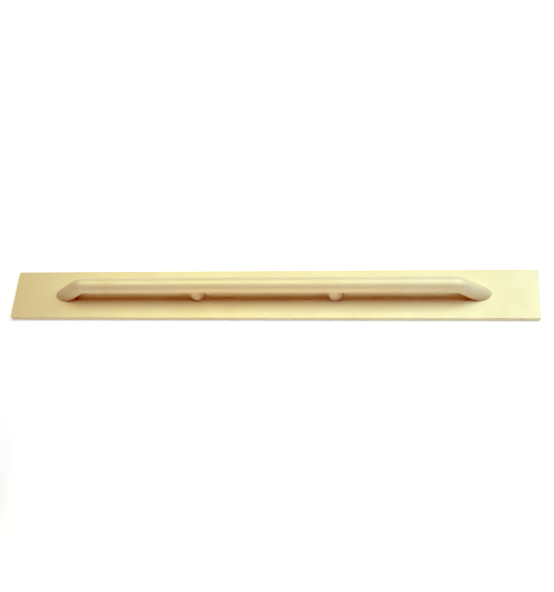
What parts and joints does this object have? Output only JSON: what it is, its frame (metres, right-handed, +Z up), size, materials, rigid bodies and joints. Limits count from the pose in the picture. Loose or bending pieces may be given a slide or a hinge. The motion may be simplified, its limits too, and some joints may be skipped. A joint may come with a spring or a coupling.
{
  "type": "magnesium darby float",
  "caption": "Long flat finishing float: a hollow extruded blade under a full-length round rail on bent, sloping end legs and round posts, screwed on from below.",
  "frame": {"origin": "centre of the working face, which is the blade's underside", "axes": "+X along the blade towards its right-hand end, +Y across the blade towards its back edge, +Z up from the working face to the rail"},
  "size_m": [1, 0.1, 0.0626],
  "materials": {
    "coated_magnesium": "satin pale straw coat over magnesium",
    "insert_steel": "stainless threaded bush",
    "screw_steel": "zinc-plated steel",
    "plug_plastic": "matt moulded plastic, straw coloured"
  },
  "bodies": {
    "root": {"blade": "coated_magnesium", "left_end_plugs": "plug_plastic", "right_end_plugs": "plug_plastic", "rail": "coated_magnesium", "left_leg": "coated_magnesium", "right_leg": "coated_magnesium", "left_post": "coated_magnesium", "right_post": "coated_magnesium", "left_seam_weld": "coated_magnesium", "right_seam_weld": "coated_magnesium", "left_post_weld": "coated_magnesium", "right_post_weld": "coated_magnesium", "left_leg_insert": "insert_steel", "left_post_insert": "insert_steel", "right_post_insert": "insert_steel", "right_leg_insert": "insert_steel", "left_leg_screw": "screw_steel", "left_post_screw": "screw_steel", "right_post_screw": "screw_steel", "right_leg_screw": "screw_steel"}
  },
  "joints": []
}
